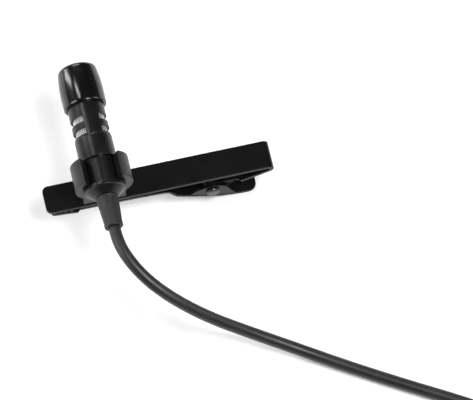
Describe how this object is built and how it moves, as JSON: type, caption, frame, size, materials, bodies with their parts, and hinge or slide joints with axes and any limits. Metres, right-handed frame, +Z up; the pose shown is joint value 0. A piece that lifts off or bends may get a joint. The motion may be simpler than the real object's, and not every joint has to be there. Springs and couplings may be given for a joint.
{
  "type": "lavalier microphone",
  "caption": "Small cylindrical clip-on microphone in a snap ring on a sprung tie clip, with its thin lead wound in a coil and ending in a jack plug.",
  "frame": {"origin": "on the resting surface, under the middle of the microphone and clip (the cord left out)", "axes": "+X along the clip's bar towards its folded end, +Y along the microphone towards its cap, +Z up"},
  "size_m": [0.1142, 0.0922, 0.0215],
  "materials": {
    "cap_gloss": "smooth gloss black",
    "body_black": "satin black",
    "mesh_steel": "fine woven wire",
    "foam": "open cell foam",
    "can_metal": "drawn can",
    "boot_rubber": "soft rubber",
    "board_green": "circuit board",
    "felt": "thin felt",
    "wire_red": "insulated wire",
    "wire_white": "insulated wire",
    "brass": "crimped",
    "relief_rubber": "moulded, lightly mottled",
    "holder_plastic": "moulded satin black",
    "rivet_steel": "plated",
    "clip_paint": "satin black coating on pressed strip",
    "pin_steel": "bright plated",
    "spring_steel": "bright wire",
    "cord_jacket": "satin black jacket",
    "tie_strap": "woven strap",
    "grip_plastic": "moulded black",
    "plug_metal": "polished plated",
    "insulator": "gloss black"
  },
  "bodies": {
    "microphone": {"cap": "cap_gloss", "body_tube": "body_black", "tail_shell": "body_black", "mesh_screen": "mesh_steel", "foam_plug": "foam", "capsule_can": "can_metal", "capsule_boot": "boot_rubber", "capsule_board": "board_green", "capsule_felt": "felt", "wire_signal": "wire_red", "wire_ground": "wire_white", "wire_ferrule": "brass", "strain_relief": "relief_rubber", "cord_lead": "cord_jacket", "cord_coil": "cord_jacket", "cord_tail": "cord_jacket", "cord_tie": "tie_strap", "plug_boot": "relief_rubber", "plug_grip": "grip_plastic", "plug_collar": "plug_metal", "plug_sleeve": "plug_metal", "insulator_rear": "insulator", "plug_ring": "plug_metal", "insulator_front": "insulator", "plug_tip": "plug_metal"},
    "clip": {"holder": "holder_plastic", "holder_rivet": "rivet_steel", "clip_bar": "clip_paint", "pivot_pin": "pin_steel", "spring": "spring_steel"},
    "jaw": {"jaw_lever": "clip_paint"}
  },
  "joints": [
    {"name": "holder_turn", "type": "hinge", "parent": "microphone", "child": "clip", "pos_m": [-0.01095, -0.0058, 0.0173], "axis": [0, 1, 0], "continuous": true},
    {"name": "jaw_open", "type": "hinge", "parent": "clip", "child": "jaw", "pos_m": [0.01025, -0.0058, 0.00455], "axis": [0, -1, 0], "range_deg": [0, 18], "stiffness_Nm_per_rad": 0.05, "springref_deg": -17.19, "deforming": ["spring"]}
  ]
}
